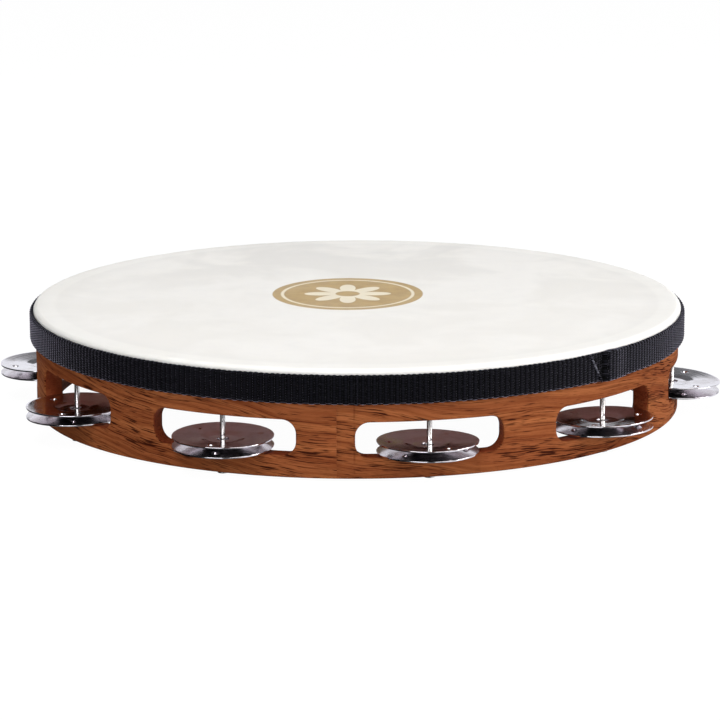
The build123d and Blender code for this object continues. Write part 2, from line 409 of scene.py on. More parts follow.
def wood_finish():
    """Reddish wood with brown streaks, dark pores and a thin coat of varnish."""
    f = Finish("varnished_wood")
    x, y, z, radius = f.polar()

    # Distance along the plank, which starts and ends at the slanting seam
    seam_middle = (SEAM_OUTER + SEAM_INNER) / 2
    skew = math.radians(SEAM_OUTER - SEAM_INNER) / SHELL_WALL
    lag = f.math("MULTIPLY", f.math("SUBTRACT", radius, PIN_CIRCLE_R), skew)
    turn = f.math("SUBTRACT", f.angle(x, y, seam_middle), lag)
    turn = f.math("ADD", f.math("FLOORED_MODULO", turn, math.tau), lag)
    along = f.math("MULTIPLY", turn, PIN_CIRCLE_R)

    # Grain runs round the hoop, drifts slowly up and down, and slants a little
    flat = f.joined(along, z, radius)
    drift = f.math("MULTIPLY", f.math("SUBTRACT", f.noise(flat, (90, 80, 80), 1.0), 0.5), 20.0)
    wiggle = f.math("MULTIPLY", f.math("SUBTRACT", f.noise(flat, (22, 12, 12), 1.0), 0.5), 2.4)
    slant = f.math("MULTIPLY", along, 0.1)
    level = f.math("ADD", f.math("ADD", f.math("ADD", z, slant), drift), wiggle)
    grain = f.joined(along, level, radius)

    broad = f.noise(grain, (120, 6.5, 7), 2.0)
    stripe = f.noise(grain, (45, 1.9, 3), 2.0, 0.55)
    fibre = f.noise(grain, (16, 0.38, 0.6), 3.0, 0.6)
    patch = f.noise(grain, (40, 7, 10), 1.0)
    pore_noise = f.noise(grain, (8.0, 0.45, 0.9), 1.5, 0.45)
    pore_bar = f.math("ADD", pore_noise, f.math("MULTIPLY", f.math("SUBTRACT", patch, 0.5), 0.5))
    pores = f.rise(pore_bar, 0.57, 0.68)
    long_lines = f.rise(f.noise(grain, (34, 0.5, 1.2), 1.0, 0.4), 0.6, 0.68)
    hair_pores = f.rise(f.noise(grain, (3.4, 0.22, 0.4), 1.0), 0.6, 0.7)

    body = f.mix(f.rise(broad, 0.34, 0.66), paint(132, 73, 42), paint(152, 90, 53))
    body = f.mix(f.rise(stripe, 0.42, 0.66, 0.0, 0.55), body, paint(100, 46, 22))
    body = f.mix(f.rise(fibre, 0.4, 0.75, 0.0, 0.32), body, paint(84, 34, 16))
    body = f.mix(f.math("MULTIPLY", hair_pores, 0.4), body, paint(52, 18, 8))
    body = f.mix(f.math("MULTIPLY", long_lines, 0.5), body, paint(48, 14, 7))
    body = f.mix(f.math("MULTIPLY", pores, 0.9), body, paint(34, 8, 5))

    # Cut faces inside the wall's thickness take up more stain
    cut = f.math(
        "MULTIPLY",
        f.rise(radius, SHELL_R - 0.75, SHELL_R - 0.35, 1.0, 0.0),
        f.rise(radius, SHELL_INNER_R + 0.35, SHELL_INNER_R + 0.75),
    )
    body = f.mix(f.math("MULTIPLY", cut, 0.6), body, paint(122, 50, 30))

    # A dark ring where each pin goes through
    nearest = SHELL_R
    for angle, reach in PLACES:
        pin_x, pin_y, _ = around(angle, reach, 0.0)
        from_x = f.math("SUBTRACT", x, float(pin_x))
        from_y = f.math("SUBTRACT", y, float(pin_y))
        nearest = f.math("MINIMUM", nearest, f.distance(from_x, from_y))
    ring = f.rise(nearest, 1.15, 1.9, 1.0, 0.0)
    body = f.mix(f.math("MULTIPLY", ring, 0.7), body, paint(30, 16, 12))

    # Glue line's faint twin on the outer face, where the scarf's feather edge was sanded through
    before_joint = -30.0
    turned = f.angle(x, y, before_joint)
    line_angle = math.radians(TWIN_ANGLE - before_joint)
    off_line = f.math("ABSOLUTE", f.math("SUBTRACT", turned, line_angle))
    broken = f.rise(f.noise(flat, (6, 3.4, 40), 2.0), 0.42, 0.6)
    twin = f.math("MULTIPLY", f.rise(off_line, 0.0012, 0.0042, 1.0, 0.0), broken)
    twin = f.math("MULTIPLY", twin, f.rise(radius, SHELL_R - 0.5, SHELL_R - 0.2))
    body = f.mix(f.math("MULTIPLY", twin, 0.35), body, paint(52, 20, 10))

    wear = f.noise(f.mm, (9, 9, 9), 3.0)
    relief = f.math("ADD", f.math("MULTIPLY", pores, -0.8), f.math("MULTIPLY", fibre, 0.3))
    swell = f.bump(f.noise(flat, (22, 6, 6), 2.0), 0.12)
    f.set(
        Base_Color=body,
        Roughness=f.math("ADD", f.rise(wear, 0.3, 0.7, 0.3, 0.46), f.math("MULTIPLY", cut, 0.4)),
        Normal=f.bump(relief, 0.05, swell),
        Specular_IOR_Level=0.0,
        Coat_Weight=0.03,
        Coat_Roughness=0.1,
    )
    return f.material


def skin_finish():
    """Clouded white skin with a printed ornament, and painted shade towards its far side, in a ring inside
    the bearing edge and on its underside.
    """
    f = Finish("drum_skin")
    x, y, z, radius = f.polar()
    cloud = f.noise(f.mm, (46, 46, 46), 3.0, 0.55, 0.4)
    fleck = f.noise(f.mm, (7, 7, 7), 3.0, 0.6)
    base = f.mix(f.rise(cloud, 0.36, 0.64), paint(236, 232, 225), paint(228, 224, 217))
    # Painted shade: the skin is darkened in clouds towards its far side
    far_side_shade = f.math("MULTIPLY", f.rise(y, -20.0, 120.0), f.rise(cloud, 0.42, 0.6))
    base = f.mix(f.math("MULTIPLY", far_side_shade, 0.8), base, paint(216, 213, 208))
    base = f.mix(f.rise(fleck, 0.45, 0.75, 0.0, 0.3), base, paint(226, 222, 217))
    on_wood = f.rise(radius, 117.6, 119.4)
    # Painted shade in a ring just inside the bearing edge, where the skin dips
    inside = f.math("MULTIPLY", f.rise(radius, 109.0, 117.0), f.rise(radius, 117.2, 118.8, 1.0, 0.0))
    base = f.mix(f.math("MULTIPLY", inside, 0.15), base, paint(214, 211, 206))
    base = f.mix(f.math("MULTIPLY", on_wood, 0.2), base, paint(242, 239, 231))
    # Painted shade: the underside is painted a dark pinkish brown, standing in for the dim light under the
    # head
    underside = f.rise(z, SHELL_TOP - 0.1, SHELL_TOP + 0.3, 1.0, 0.0)
    underside = f.math("MULTIPLY", underside, f.rise(radius, SHELL_R - 0.5, SHELL_R, 1.0, 0.0))
    base = f.mix(underside, base, paint(176, 136, 133))

    # Printed gold oval with a plain eight-petalled rosette and a ring
    print_x = f.math("DIVIDE", f.math("SUBTRACT", x, PRINT_X), PRINT_HALF_X)
    print_y = f.math("DIVIDE", f.math("SUBTRACT", y, PRINT_Y), PRINT_HALF_Y)
    reach = f.distance(print_x, print_y)
    heading = f.math("ARCTAN2", print_y, print_x)
    petals = f.math("ABSOLUTE", f.math("COSINE", f.math("MULTIPLY", heading, 4.0)))
    edge = f.math("ADD", f.math("MULTIPLY", petals, 0.34), 0.24)
    rosette = f.rise(f.math("SUBTRACT", edge, reach), 0.0, 0.02)
    heart = f.rise(reach, 0.15, 0.17, 1.0, 0.0)
    ring_line = f.rise(f.math("ABSOLUTE", f.math("SUBTRACT", reach, 0.86)), 0.012, 0.03, 1.0, 0.0)
    patch = f.rise(reach, 0.985, 1.0, 1.0, 0.0)
    pale = f.math("MAXIMUM", f.math("SUBTRACT", rosette, heart), ring_line)
    gold = f.mix(f.rise(fleck, 0.35, 0.7), paint(172, 143, 88), paint(160, 131, 80))
    ink = f.mix(f.math("MULTIPLY", pale, 0.85), gold, paint(233, 222, 198))
    base = f.mix(f.math("MULTIPLY", patch, 0.94), base, ink)

    grain = f.bump(f.noise(f.mm, (0.9, 0.9, 0.9), 2.0), 0.012)
    f.set(
        Base_Color=base,
        Roughness=f.rise(cloud, 0.3, 0.7, 0.42, 0.54),
        Subsurface_Weight=0.5,
        Subsurface_Radius=(1.0, 0.95, 0.88),
        Subsurface_Scale=0.003,
        Normal=f.bump(f.noise(f.mm, (24, 24, 24), 2.0), 0.05, grain),
        Specular_IOR_Level=0.4,
    )
    return f.material


def webbing_finish():
    """Black ribbed webbing, with a painted highlight greying the threads' crests, painted black shade in
    the crease behind its lapped end, and a painted pale highlight on the melted lip of its cut.
    """
    f = Finish("black_webbing")
    x, y, z, radius = f.polar()
    turn = f.angle(x, y, 0.0)
    ribs = f.math("MULTIPLY", turn, RIB_COUNT / math.tau)
    odd = f.math("FLOORED_MODULO", f.math("FLOOR", f.math("ADD", ribs, 0.5)), 2.0)
    threads = f.math("DIVIDE", f.math("SUBTRACT", z, BAND_BOTTOM), THREAD_PITCH)
    phase = f.math("ADD", threads, f.math("MULTIPLY", odd, 0.5))
    thread = f.math("COSINE", f.math("MULTIPLY", phase, math.tau))
    crest = f.math("COSINE", f.math("MULTIPLY", ribs, math.tau))
    flat = f.joined(f.math("MULTIPLY", turn, BAND_R), z, radius)
    fuzz = f.noise(flat, (0.5, 0.16, 0.3), 2.0, 0.6)
    bundle = f.noise(flat, (2.2, 0.7, 1.0), 2.0, 0.5)
    # Painted highlight: the threads' crests are painted grey over near-black valleys, broken up by fuzz
    lit = f.math("MULTIPLY", f.rise(thread, -0.6, 0.6, 0.4, 1.0), f.rise(crest, -0.2, 0.95))
    crest_highlight = f.math("MULTIPLY", lit, f.rise(fuzz, 0.25, 0.7, 0.35, 1.0))
    base = f.mix(crest_highlight, paint(0, 0, 1), paint(22, 22, 29))
    base = f.mix(f.rise(bundle, 0.5, 0.75, 0.0, 0.3), base, paint(24, 23, 29))
    mark = f.mark()
    # Painted shade: the crease behind the lapped end is painted black, and so is the lip under its
    # highlight
    crease_shade = f.rise(mark, 0.45, 0.55)
    # Painted highlight: the melted lip is painted pale grey, as its cut edge catching the light
    lip = f.rise(mark, 0.9, 1.0)
    base = f.mix(crease_shade, base, paint(1, 1, 1))
    base = f.mix(lip, base, paint(118, 118, 128))
    height = f.math("ADD", f.rise(thread, -0.9, 0.7), f.math("MULTIPLY", f.rise(crest, -0.6, 0.8), 0.3))
    height = f.math("ADD", height, f.math("MULTIPLY", fuzz, 0.3))
    f.set(
        Base_Color=base,
        Roughness=f.rise(fuzz, 0.3, 0.7, 0.5, 0.7),
        Normal=f.bump(height, 0.15),
        Sheen_Weight=0.75,
        Sheen_Roughness=0.3,
        Sheen_Tint=paint(205, 200, 222),
        Specular_IOR_Level=0.04,
    )
    return f.material


def disc_finish():
    """Polished nickel with spun rings, smudges and specks, and rougher on the convex face."""
    f = Finish("polished_nickel", own_frame=True)
    *_, radius = f.polar()
    outward = f.joined(radius, 0.0, 0.0)
    spun = f.noise(outward, (0.16, 1, 1), 3.0, 0.65)
    broad_spun = f.noise(outward, (1.4, 1, 1), 2.0)
    smudge = f.noise(f.mm, (6.5, 6.5, 6.5), 3.0, 0.6, 0.5)
    speck = f.rise(f.noise(f.mm, (0.6, 0.6, 0.6), 2.0), 0.66, 0.74)
    base = f.mix(f.rise(smudge, 0.4, 0.7), paint(240, 236, 240), paint(224, 217, 219))
    base = f.mix(f.math("MULTIPLY", speck, 0.3), base, paint(120, 108, 98))
    rough = f.math("ADD", f.rise(smudge, 0.35, 0.7, 0.07, 0.15), f.math("MULTIPLY", spun, 0.04))
    rough = f.math("ADD", rough, f.math("MULTIPLY", f.mark(), 0.05))
    waves = f.bump(broad_spun, 0.03)
    f.set(
        Base_Color=base,
        Metallic=1.0,
        Roughness=rough,
        Normal=f.bump(spun, 0.0022, waves),
    )
    return f.material


def pin_finish():
    """Bright steel with lines drawn along it."""
    f = Finish("drawn_steel", own_frame=True)
    x, y, z, radius = f.polar()
    turn = f.angle(x, y, 0.0)
    lines = f.noise(f.joined(turn, z, radius), (0.12, 9, 5), 2.0, 0.6)
    smudge = f.noise(f.mm, (2.2, 2.2, 3.4), 3.0, 0.6)
    base = f.mix(f.rise(smudge, 0.4, 0.7), paint(230, 228, 226), paint(204, 199, 192))
    f.set(
        Base_Color=base,
        Metallic=1.0,
        Roughness=f.rise(smudge, 0.35, 0.7, 0.2, 0.34),
        Normal=f.bump(lines, 0.0025),
    )
    return f.material


# ---------------------------------------------------------------- hoop


def edge_profile(bottom):
    """Section (r, z) over the wall's top, or under its bottom, from the outer face to the inner one."""
    turn = -1 if bottom else 1
    level = WALL_LOW if bottom else WALL_HIGH
    outer = arc_points((SHELL_R - SHELL_ROUND, level), SHELL_ROUND, 0, 90 * turn, 5)
    inner = arc_points((SHELL_INNER_R + SHELL_ROUND, level), SHELL_ROUND, 90 * turn, 180 * turn, 5)
    flat_r = np.linspace(SHELL_R - SHELL_ROUND, SHELL_INNER_R + SHELL_ROUND, 5)[1:-1]
    flat = np.stack([flat_r, np.full(len(flat_r), outer[-1][1])], -1)
    return np.concatenate([outer, flat, inner])


def wall_profile():
    """The wall's closed section: up the outer face, over, down the inner face and under."""
    heights = np.linspace(WALL_LOW, WALL_HIGH, FACE_ROWS + 1)
    outer = np.stack([np.full(len(heights), SHELL_R), heights], -1)
    inner = np.stack([np.full(len(heights), SHELL_INNER_R), heights[::-1]], -1)
    under = edge_profile(True)[::-1]
    return np.concatenate([outer, edge_profile(False)[1:-1], inner, under[1:-1]])


def inward_share(profile):
    """How far through the wall each point of a section lies: 0 outside, 1 inside."""
    return (SHELL_R - profile[:, 0]) / SHELL_WALL


def swept(profile, outer_angles, inner_angles):
    """Rows of a section's points, columns along the hoop, between an outer and an inner angle each."""
    share = inward_share(profile)[:, None]
    angles = outer_angles[None, :] * (1 - share) + inner_angles[None, :] * share
    return around(angles, profile[:, :1], profile[:, 1:])


def window_loop(slot, grow):
    """A slot's outline in its own plane (sideways, z), grown by a distance: SLOT_COLUMNS per long side."""
    left, right = SLOT_REACH_LEFT[slot], SLOT_REACH_RIGHT[slot]
    half_w, half_h = (left + right) / 2 + grow, (SLOT_TOP - SLOT_BOTTOM) / 2 + grow
    radius = SLOT_CORNER_R + grow
    across = (right - left) / 2
    middle = (SLOT_TOP + SLOT_BOTTOM) / 2 + SLOT_RISE[slot]
    sides = []
    corners = [(-1, -1, 225), (1, -1, 315), (1, 1, 45), (-1, 1, 135)]
    for place, (sx, sz, heading) in enumerate(corners):
        nx, nz, next_heading = corners[(place + 1) % 4]
        steps = SLOT_COLUMNS if place % 2 == 0 else FACE_ROWS
        centre = (across + sx * (half_w - radius), middle + sz * (half_h - radius))
        ahead = (across + nx * (half_w - radius), middle + nz * (half_h - radius))
        first = arc_points(centre, radius, heading, heading + 45, CORNER_STEPS + 1)
        last = arc_points(ahead, radius, next_heading - 45, next_heading, CORNER_STEPS + 1)
        straight = np.linspace(first[-1], last[0], steps - 2 * CORNER_STEPS + 1)
        sides.append(np.concatenate([first, straight[1:-1], last[:-1]]))
    return np.concatenate(sides)


def rectangle_loop(low, high):
    """The sector's outline (angle, z) with as many points on each side as the window's."""
    across = np.linspace(low, high, SLOT_COLUMNS + 1)
    up = np.linspace(WALL_LOW, WALL_HIGH, FACE_ROWS + 1)
    bottom = np.stack([across[:-1], np.full(SLOT_COLUMNS, WALL_LOW)], -1)
    right = np.stack([np.full(FACE_ROWS, high), up[:-1]], -1)
    top = np.stack([across[:0:-1], np.full(SLOT_COLUMNS, WALL_HIGH)], -1)
    left = np.stack([np.full(FACE_ROWS, low), up[:0:-1]], -1)
    return np.concatenate([bottom, right, top, left])


def face_rings(slot, angle, radius, low, high):
    """Rings on one face of the wall, from the slot's rounded edge out to the sector's sides."""
    window = window_loop(slot, SLOT_EDGE_ROUND)
    hole = np.stack([angle + np.degrees(np.arcsin(window[:, 0] / radius)), window[:, 1]], -1)
    outline = rectangle_loop(low, high)
    rings = [hole * (1 - share) + outline * share for share in RING_SHARES]
    return [around(ring[:, 0], radius, ring[:, 1]) for ring in rings]


def slot_wall(slot, angle):
    """Rings through the wall, round both edges of the slot."""
    rings = []
    turns = np.radians([22.5, 45, 67.5, 90])
    steps = [
        (SHELL_R - SLOT_EDGE_ROUND * (1 - math.cos(turn)), SLOT_EDGE_ROUND * (1 - math.sin(turn)))
        for turn in turns
    ]
    inner = [(SHELL_INNER_R + SHELL_R - radius, grow) for radius, grow in steps[::-1]]
    middle = [(radius, 0.0) for radius in np.linspace(steps[-1][0], inner[0][0], 6)[1:-1]]
    for radius, grow in steps + middle + inner:
        window = window_loop(slot, grow)
        heading = angle + np.degrees(np.arcsin(window[:, 0] / radius))
        rings.append(around(heading, radius, window[:, 1]))
    return rings


def make_shell(material):
    """The bent wooden hoop, in sectors of one slot or of the solid stretch, closed by its seam."""
    work = Patchwork()
    seam_gap = math.degrees(SEAM_HALF_WIDTH / PIN_CIRCLE_R)
    edges = [SLOT_ANGLES[0] - SLOT_PITCH / 2 + SLOT_PITCH * place for place in range(SECTORS + 1)]
    outer_edges, inner_edges = list(edges), list(edges)
    outer_edges[0], inner_edges[0] = SEAM_OUTER + seam_gap, SEAM_INNER + seam_gap
    outer_edges[-1], inner_edges[-1] = 360 + SEAM_OUTER - seam_gap, 360 + SEAM_INNER - seam_gap
    for place in range(SECTORS):
        low, high = outer_edges[place], outer_edges[place + 1]
        inner_low, inner_high = inner_edges[place], inner_edges[place + 1]
        outer_columns = np.linspace(low, high, SLOT_COLUMNS + 1)
        inner_columns = np.linspace(inner_low, inner_high, SLOT_COLUMNS + 1)
        middle = edges[place] + SLOT_PITCH / 2
        near = [slot for slot, angle in enumerate(SLOT_ANGLES) if abs(middle - angle) < 1]
        if not near:
            work.grid(swept(wall_profile(), outer_columns, inner_columns), close_columns=True)
            continue
        slot = near[0]
        outer = face_rings(slot, middle, SHELL_R, low, high)
        inner = face_rings(slot, middle, SHELL_INNER_R, inner_low, inner_high)
        work.grid(np.array(outer[::-1] + slot_wall(slot, middle) + inner), close_rows=True)
        for bottom in (True, False):
            work.grid(swept(edge_profile(bottom), outer_columns, inner_columns))

    # The scarf joint's glue line, as a narrow groove between the first and last sectors
    profile = wall_profile()
    sunk = profile.copy()
    depth = SEAM_DEPTH * (0.55 + 0.45 * np.sin(profile[:, 1] * 0.9 + 0.5) * np.sin(profile[:, 1] * 0.37))
    sunk[:, 0] = np.clip(profile[:, 0], SHELL_INNER_R + depth, SHELL_R - depth)
    sunk[:, 1] = np.clip(profile[:, 1], SHELL_BOTTOM + depth, SHELL_TOP - depth)
    share = inward_share(profile)
    columns = []
    for section, gap in ((profile, -seam_gap), (sunk, 0.0), (profile, seam_gap)):
        turn = SEAM_OUTER * (1 - share) + SEAM_INNER * share + gap
        columns.append(around(turn, section[:, 0], section[:, 1]))
    work.grid(np.array(columns), close_rows=True)
    return work.piece("wood_hoop", "frame", material, "shell", sharp=50)


# ---------------------------------------------------------------- skin


def make_skin(material):
    """The drum skin: flat top, rolled edge, skirt, and its underside."""
    bend_centre = (SKIN_R - SKIN_BEND_R, SKIN_TOP - SKIN_BEND_R)
    inner_r = SKIN_BEND_R - SKIN_THICKNESS
    top_r = np.concatenate([[0.01], np.linspace(3, SKIN_R - SKIN_BEND_R, 58)])
    top = np.stack([top_r, np.full(len(top_r), SKIN_TOP)], -1)
    roll = arc_points(bend_centre, SKIN_BEND_R, 90, 0, 9)
    skirt_z = np.linspace(SKIN_TOP - SKIN_BEND_R, SKIRT_BOTTOM, 8)[1:]
    skirt = np.stack([np.full(len(skirt_z), SKIN_R), skirt_z], -1)
    back = np.stack([np.full(len(skirt_z), SKIN_R - SKIN_THICKNESS), skirt_z[::-1]], -1)
    under_roll = arc_points(bend_centre, inner_r, 0, 90, 6)
    under_r = np.linspace(SKIN_R - SKIN_BEND_R, 0.01, 30)
    under = np.stack([under_r, np.full(len(under_r), SKIN_TOP - SKIN_THICKNESS)], -1)
    section = np.concatenate([top, roll[1:], skirt, back, under_roll, under[1:]])
    angles = np.linspace(0, 360, SKIN_COLUMNS, endpoint=False)
    radius = np.repeat(section[:, :1], len(angles), 1)
    height = np.repeat(section[:, 1:], len(angles), 1)
    turn = np.radians(angles)[None, :]
    loose = smoothstep(10, 60, radius) * smoothstep(120, 105, radius)
    ripple = 0.05 * np.sin(3 * turn + 0.7) + 0.035 * np.sin(5 * turn + 2.1 + radius / 40)
    height = height + loose * ripple
    on_top = height > SKIN_TOP - 1
    sunk = SKIN_SAG * (1 - smoothstep(SAG_START_R, SAG_END_R, radius)) * on_top
    work = Patchwork()
    work.grid(around(angles[None, :], radius, height - sunk), close_rows=True)
    return work.piece("skin_head", "frame", material, "drum_head", sharp=60)


# ---------------------------------------------------------------- webbing


def weave(angles, heights, strength=1.0):
    """Relief of the ribs and of the threads that cross them, in mm."""
    ribs = np.asarray(angles) * RIB_COUNT / 360
    crest = 0.5 + 0.5 * np.cos(math.tau * ribs)
    number = np.floor(ribs + 0.5)
    threads = (np.asarray(heights) - BAND_BOTTOM) / THREAD_PITCH
    thread = np.cos(math.tau * (threads + 0.5 * (number % 2)))
    return strength * (RIB_DEPTH * (crest**0.7 - 1) + THREAD_DEPTH * thread * (0.3 + 0.7 * crest))


def rib_unevenness(angles):
    """Slow, repeatable variation along the band, about 0 with amplitude 1."""
    turn = np.radians(angles)
    return (np.sin(37 * turn + 0.4) + np.sin(61 * turn + 1.9) + np.sin(113 * turn + 3.0)) / 3


def cut_angle(height):
    """Angle of the slanting, slightly ragged cut across the webbing's lapped end."""
    ragged = 0.09 * np.sin(height * 5.1) + 0.06 * np.sin(height * 11.7 + 1)
    return CUT_TOP_ANGLE + (CUT_TOP_HEIGHT - height) * CUT_SLOPE + ragged


def crease_angle(height):
    """Angle where the crease behind the cut ends and the raised layer starts."""
    return CREASE_END_ANGLE + 0.25 * np.sin(height * 1.7)


def make_band(material):
    """The whole ribbed band, pressed in where its own lapped end lies over it."""
    work = Patchwork()
    columns = RIB_COUNT * RIB_COLUMNS
    angles = np.arange(columns) * 360 / columns
    rib = np.cos(math.tau * angles * RIB_COUNT / 360)
    teeth = 0.12 * rib + 0.08 * rib_unevenness(angles)
    top = BAND_TOP - 0.05 + teeth
    bottom = BAND_BOTTOM + 0.15 - 0.5 * teeth
    rows = []
    rounding = [0.015, 0.985]
    for share in np.unique(np.concatenate([np.linspace(0, 1, 2 * THREADS + 1), rounding])):
        height = bottom + (top - bottom) * share
        shrink = 0.5 * (1 - smoothstep(0, 0.06, min(share, 1 - share)))
        behind_cut = smoothstep(0.2, 0.8, angles - cut_angle(height))
        before_swelling = 1 - smoothstep(-0.3, 0.3, angles - crease_angle(height))
        shrink = shrink + PRESSED_IN * behind_cut * before_swelling
        rows.append(around(angles, BAND_R - 0.02 + weave(angles, height) - shrink, height))
    inner = SKIN_R + 0.02
    for reach, lift in ((0.55, 0.12), (0.0, -0.05)):
        rows.append(around(angles, inner + (BAND_R - inner) * reach, top + lift))
    rows.append(around(angles, inner, bottom + 0.1))
    rows.append(around(angles, inner + 0.6, bottom - 0.05))
    work.grid(np.array(rows), close_rows=True, close_columns=True)
    return work.piece("webbing_band", "frame", material, "edge_webbing", sharp=75)


def make_band_end(material):
    """The webbing's lapped end: a slanted, heat-sealed cut, a pinched crease and a swelling that dies
    away.
    """
    heights = np.linspace(BAND_BOTTOM, BAND_TOP + 0.1, 30)
    across = np.linspace(0, 1, 150) ** 1.15
    height, share = np.meshgrid(heights, across, indexing="ij")
    cut = cut_angle(height)
    angles = cut + (END_ANGLE - cut) * share
    from_cut = np.radians(angles - cut) * BAND_R
    crease_end = crease_angle(height)
    lip = 0.55 * np.exp(-((from_cut / 0.6) ** 2))
    swell = SWELLING * smoothstep(crease_end - 0.35, crease_end + 0.7, angles)
    swell = swell * (1 - smoothstep(HUMP_ANGLE, END_ANGLE, angles))
    in_crease = 1 - smoothstep(crease_end - 0.5, crease_end + 0.2, angles)
    in_crease = smoothstep(0.3, 1.2, from_cut) * in_crease
    pinch = PRESSED_IN * in_crease
    blobs = 0.18 * np.sin(height * 2.3 + from_cut * 1.9) * np.sin(from_cut * 2.7 + 0.6) * in_crease
    strength = smoothstep(crease_end - 0.3, crease_end + 1.2, angles)
    offset = 0.1 + lip + swell - pinch + blobs + weave(angles, height, strength)
    rolled = np.minimum(height - heights[0], heights[-1] - height)
    offset = offset - 0.45 * (1 - smoothstep(0, 0.6, rolled))
    top_hump = 0.5 * np.exp(-(((angles - HUMP_ANGLE) / 1.1) ** 2))
    top_hump = top_hump * smoothstep(BAND_TOP - 4, BAND_TOP, height)

    # The mark is near 1 on the melted lip, which the finish paints pale as a painted highlight, and the
    # crease's lower mark in the crease behind it, which the finish paints black as painted shade
    lip_highlight_span = smoothstep(31.8, 32.4, height) * (1 - smoothstep(38.0, 38.5, height))
    mark = np.where(from_cut < 0.34, lip_highlight_span * (0.94 + 0.06 * np.sin(height * 7.0) ** 2), 0.0)
    # Painted shade: where the crease is pressed in, its mark makes the finish paint it black
    pressed = 1 - smoothstep(crease_end - 0.2, crease_end + 0.5, angles)
    mark = np.maximum(mark, CREASE_SHADE_MARK * smoothstep(0.45, 0.7, from_cut) * pressed)
    outer = around(angles, BAND_R + offset, height + top_hump)
    inner = around(angles, np.full_like(angles, SKIN_R + 0.1), height + 0.5 * top_hump)
    work = Patchwork()
    work.grid(outer, marks=mark)
    work.grid(inner, marks=mark)
    for index in (0, -1):
        work.grid(np.array([outer[index], inner[index]]), marks=np.array([mark[index]] * 2))
        work.grid(
            np.array([outer[:, index], inner[:, index]]),
            marks=np.array([mark[:, index]] * 2),
        )
    return work.piece("webbing_end", "frame", material, None, sharp=75)


# ---------------------------------------------------------------- jingles and pins


def disc_heights(radius):
    """Height of the disc's convex face at each radius: flat cup floor, cup side, dished flange."""
    fine = np.linspace(0, DISC_R, 1500)
    slope = CUP_SLOPE * smoothstep(CUP_FLOOR_R, CUP_SIDE_R, fine)
    slope = slope + (FLANGE_SLOPE - CUP_SLOPE) * smoothstep(CUP_MOUTH_R, FLANGE_START_R, fine)
    rise = np.concatenate([[0], np.cumsum((slope[1:] + slope[:-1]) / 2 * np.diff(fine))])
    return np.interp(radius, fine, rise)


def disc_columns():
    """Angles round a disc, closer together at its three dimples."""
    third = 360 / DIMPLES
    even = np.linspace(0, third, 64, endpoint=False)
    packed = even - third / 2 + DIMPLE_CROWDING * np.sin(np.radians(even * DIMPLES))
    return np.concatenate([packed + third * dimple for dimple in range(DIMPLES)])


def make_disc(name, body, node, material, place, seed):
    """A pressed disc, a little wavy, with its dimples a little off their circle."""
    shake = np.random.default_rng(seed)
    radii = np.unique(np.concatenate([
        np.linspace(DISC_HOLE_R + 0.1, 5.0, 5),
        np.linspace(5.0, 9.3, 16),
        np.linspace(9.3, 12.3, 6),
        np.linspace(12.3, 15.5, 28),
        np.linspace(15.5, DISC_R - 0.12, 6),
    ]))
    columns = disc_columns()
    turn = np.radians(columns)
    radius = np.repeat(radii[:, None], len(turn), 1)
    bend = 0.0
    for waves, size in ((2, 0.07), (3, 0.05), (5, 0.02)):
        bend = bend + size * shake.uniform(0.5, 1) * np.cos(waves * turn + shake.uniform(0, math.tau))
    lower = disc_heights(radius) + bend[None, :] * smoothstep(6, DISC_R, radius)
    upper = lower + DISC_THICKNESS
    dented = np.zeros_like(radius)
    for dimple in range(DIMPLES):
        middle = np.radians(360 / DIMPLES * dimple + shake.uniform(-2, 2))
        reach = DIMPLE_CIRCLE_R + shake.uniform(-0.25, 0.25)
        away_x = radius * np.cos(turn) - reach * np.cos(middle)
        away_y = radius * np.sin(turn) - reach * np.sin(middle)
        away = np.hypot(away_x, away_y)
        dented = np.maximum(dented, 1 - smoothstep(DIMPLE_R, DIMPLE_R + 0.4, away))
        lower = lower - DIMPLE_DEPTH * (1 - smoothstep(0.5, DIMPLE_R, away))
        upper = upper - DIMPLE_DEPTH * (1 - smoothstep(0.2, DIMPLE_R - 0.1, away))

    def ring(row, reach, share):
        height = lower[row] * (1 - share) + upper[row] * share
        return np.stack([reach * np.cos(turn), reach * np.sin(turn), height], -1)

    def face(heights):
        return np.stack([radius * np.cos(turn), radius * np.sin(turn), heights], -1)

    rim = [ring(-1, DISC_R - set_in, share) for share, set_in in DISC_EDGE]
    bore = [ring(0, DISC_HOLE_R + set_in, share) for share, set_in in reversed(DISC_EDGE)]
    rows = list(face(lower)) + rim + list(face(upper)[::-1]) + bore
    work = Patchwork()

    # The mark is 1 on the convex face, apart from its dimples
    marks = np.zeros((len(rows), len(turn)))
    marks[:len(radii)] = 1.0 - dented
    work.grid(np.array(rows), close_rows=True, close_columns=True, marks=marks)
    return work.piece(name, body, material, node, sharp=40, place=place)


def make_pin(number, material):
    """A flat-headed nail, driven up through both edges of the slot."""
    angle, reach = PLACES[number - 1]
    head_r = (pin_high[0] - pin_low[0]) / 2
    tip = pin_high[2]
    head = [
        (0.01, 0.03), (1.2, 0.0), (head_r - 0.22, 0.02), (head_r - 0.07, 0.08), (head_r, 0.2),
        (head_r, 0.56), (head_r - 0.06, 0.7), (head_r - 0.2, 0.78), (1.35, 0.8), (1.12, 0.86),
    ]
    shank = [(PIN_R, height) for height in SHANK_RINGS]
    point = [(PIN_R, tip - 2.0), (0.55, tip - 1.0), (0.01, tip)]
    section = np.array(head + shank + point)
    turn = np.linspace(0, math.tau, PIN_COLUMNS, endpoint=False)
    points = np.stack([
        section[:, :1] * np.cos(turn), section[:, :1] * np.sin(turn),
        np.repeat(section[:, 1:], len(turn), 1),
    ], -1)
    stand = Matrix.Rotation(math.radians(angle), 4, "Z") @ Matrix.Translation((0, -reach * MM, 0))
    work = Patchwork()
    work.grid(points, close_rows=True)
    node = f"jingle_pin_{number}"
    return work.piece(f"pin_{number}", "frame", material, node, sharp=45, place=stand)


